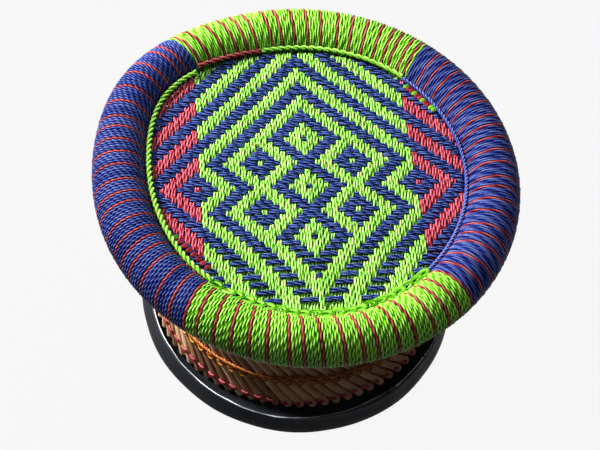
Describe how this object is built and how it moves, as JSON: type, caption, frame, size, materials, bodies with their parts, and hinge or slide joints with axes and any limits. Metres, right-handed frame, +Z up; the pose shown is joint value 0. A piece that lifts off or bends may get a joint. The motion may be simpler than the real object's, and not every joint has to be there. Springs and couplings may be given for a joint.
{
  "type": "stool",
  "caption": "Low round stool with a cord-wound rim, a flat woven cord seat, a waisted wall of crossed reeds bound with cord, and a rubber-clad foot ring.",
  "frame": {"origin": "on the floor, at the centre of the foot ring", "axes": "+Z up, -Y towards the front of the seat, along the warps, and +X to the right of someone who faces the front"},
  "size_m": [0.38, 0.38, 0.226],
  "materials": {
    "green_cord": "satin twisted plastic cord, lime green",
    "blue_cord": "satin twisted plastic cord, royal blue",
    "red_cord": "satin twisted plastic cord, coral red",
    "orange_cord": "satin twisted plastic cord, orange",
    "reed": "dry natural reed, matt",
    "cane": "cane, matt",
    "grass_bundle": "bound grass, matt",
    "tyre_rubber": "black tyre rubber, dull"
  },
  "bodies": {
    "root": {"edging_back_green": "green_cord", "edging_back_red": "red_cord", "edging_front_green": "green_cord", "edging_left_green": "green_cord", "edging_right_blue": "blue_cord", "foot_core": "grass_bundle", "foot_ties_red": "red_cord", "foot_tyre_strip": "tyre_rubber", "reeds_inner_01": "reed", "reeds_inner_02": "reed", "reeds_inner_03": "reed", "reeds_inner_04": "reed", "reeds_inner_05": "reed", "reeds_inner_06": "reed", "reeds_inner_07": "reed", "reeds_inner_08": "reed", "reeds_inner_09": "reed", "reeds_inner_10": "reed", "reeds_inner_11": "reed", "reeds_inner_12": "reed", "reeds_inner_13": "reed", "reeds_inner_14": "reed", "reeds_outer_01": "reed", "reeds_outer_02": "reed", "reeds_outer_03": "reed", "reeds_outer_04": "reed", "reeds_outer_05": "reed", "reeds_outer_06": "reed", "reeds_outer_07": "reed", "reeds_outer_08": "reed", "reeds_outer_09": "reed", "reeds_outer_10": "reed", "reeds_outer_11": "reed", "reeds_outer_12": "reed", "reeds_outer_13": "reed", "reeds_outer_14": "reed", "reeds_outer_15": "reed", "rim_core": "grass_bundle", "rim_winding_back_green": "green_cord", "rim_winding_back_red": "red_cord", "rim_winding_front_green": "green_cord", "rim_winding_front_red": "red_cord", "rim_winding_left_blue": "blue_cord", "rim_winding_left_red": "red_cord", "rim_winding_right_blue": "blue_cord", "rim_winding_right_red": "red_cord", "seat_warp_green": "green_cord", "seat_warp_red_left": "red_cord", "seat_warp_red_right": "red_cord", "seat_weft_blue": "blue_cord", "top_hoop": "cane", "waist_loops_orange": "orange_cord", "waist_rope_orange": "orange_cord"}
  },
  "joints": []
}
